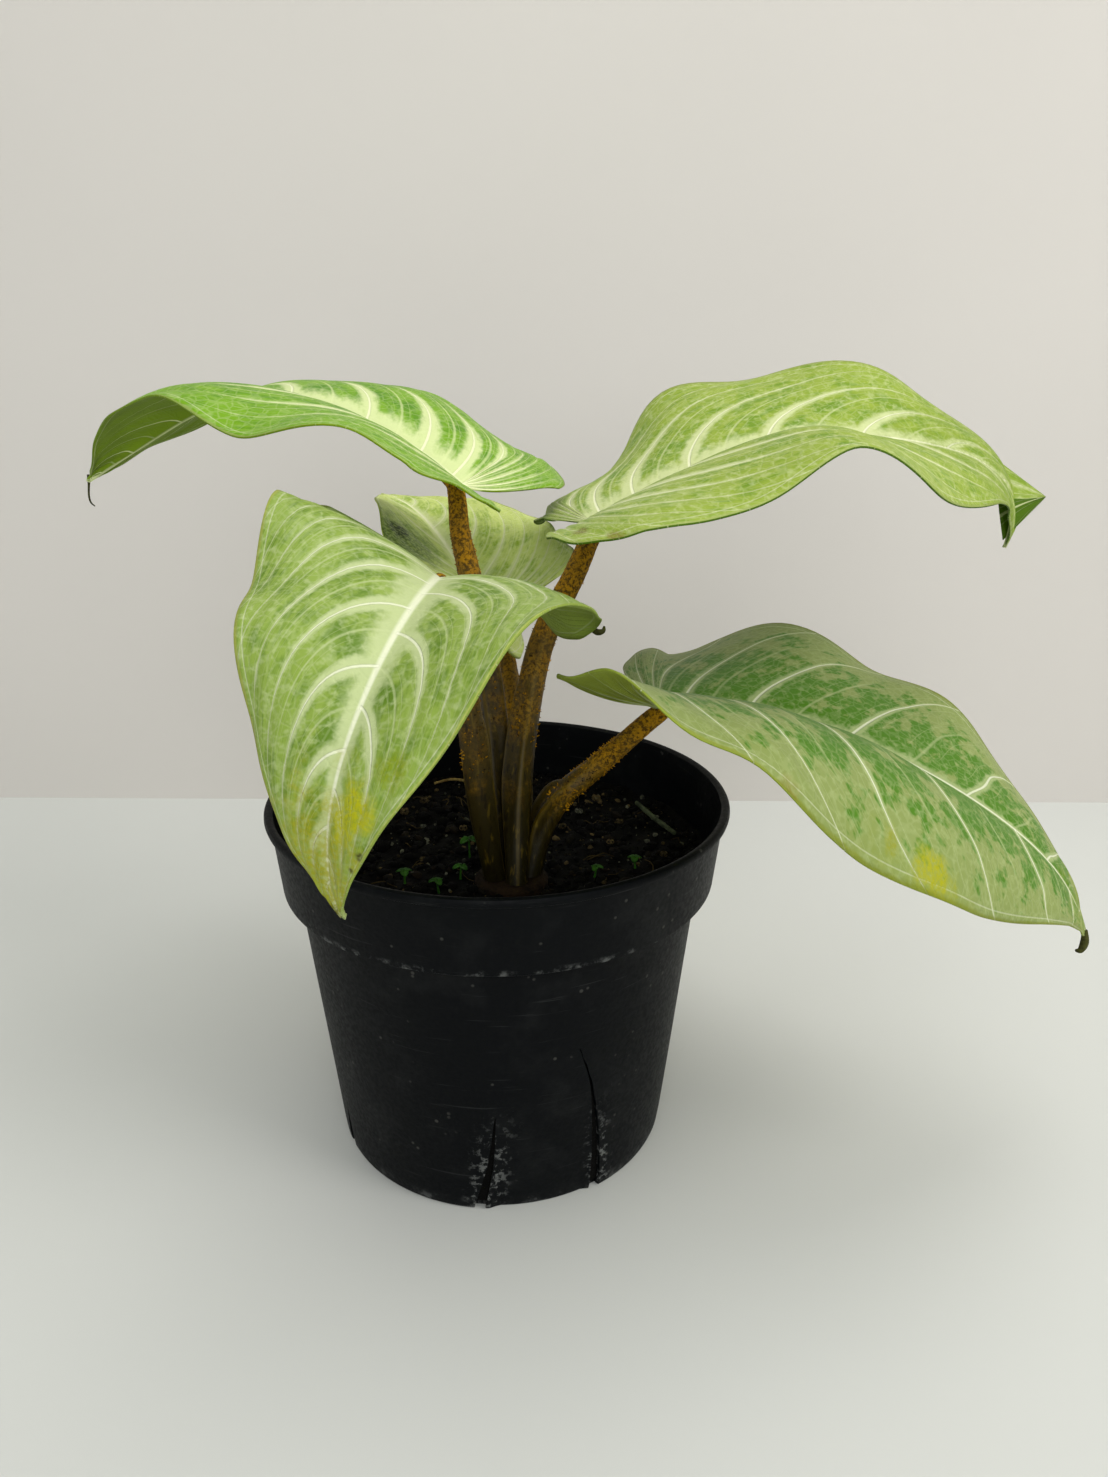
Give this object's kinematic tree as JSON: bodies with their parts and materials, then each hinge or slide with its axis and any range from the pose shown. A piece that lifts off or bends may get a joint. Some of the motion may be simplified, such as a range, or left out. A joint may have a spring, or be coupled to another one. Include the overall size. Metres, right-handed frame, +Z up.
{
  "type": "potted alocasia",
  "caption": "Young aroid houseplant with arrow-shaped, pale-veined leaves on long fleshy stalks, rooted in a round black nursery pot of soil.",
  "frame": {"origin": "centre of the pot's flat underside, on the surface it stands on", "axes": "+Z up; -Y is the pot's split side with the drooping front leaf; +X towards the two right-hand leaves"},
  "size_m": [0.3314, 0.2455, 0.2532],
  "materials": {
    "pot_plastic": "satin black moulded plastic with pale scuffs and dust",
    "soil": null,
    "crown_skin": "dark brown scarred skin",
    "stalk_skin": "olive green with brown flecks, rough golden scurf towards the top",
    "blade_skin": "soft satin leaf, pale green with cream veins and darker mottling",
    "grit": "dull tan and grey grit and pumice",
    "seedling": "fresh green seedling leaf",
    "straw": "dry straw",
    "stick": "weathered greenish stick"
  },
  "bodies": {
    "root": {"clover_sprig_1": "seedling", "clover_sprig_2": "seedling", "clover_sprig_3": "seedling", "clover_sprig_4": "seedling", "clover_sprig_5": "seedling", "clover_sprig_6": "seedling", "crown": "crown_skin", "dry_straw": "straw", "green_stick": "stick", "grit_stone_01": "grit", "grit_stone_02": "grit", "grit_stone_03": "grit", "grit_stone_04": "grit", "grit_stone_05": "grit", "grit_stone_06": "grit", "grit_stone_07": "grit", "grit_stone_08": "grit", "grit_stone_09": "grit", "grit_stone_10": "grit", "grit_stone_11": "grit", "grit_stone_12": "grit", "grit_stone_13": "grit", "grit_stone_14": "grit", "grit_stone_15": "grit", "grit_stone_16": "grit", "grit_stone_17": "grit", "grit_stone_18": "grit", "grit_stone_19": "grit", "grit_stone_20": "grit", "leaf_blade_back": "blade_skin", "leaf_blade_front": "blade_skin", "leaf_blade_left": "blade_skin", "leaf_blade_low_right": "blade_skin", "leaf_blade_right": "blade_skin", "petiole_back": "stalk_skin", "petiole_front": "stalk_skin", "petiole_left": "stalk_skin", "petiole_low_right": "stalk_skin", "petiole_right": "stalk_skin", "pot": "pot_plastic", "soil": "soil"}
  },
  "joints": []
}
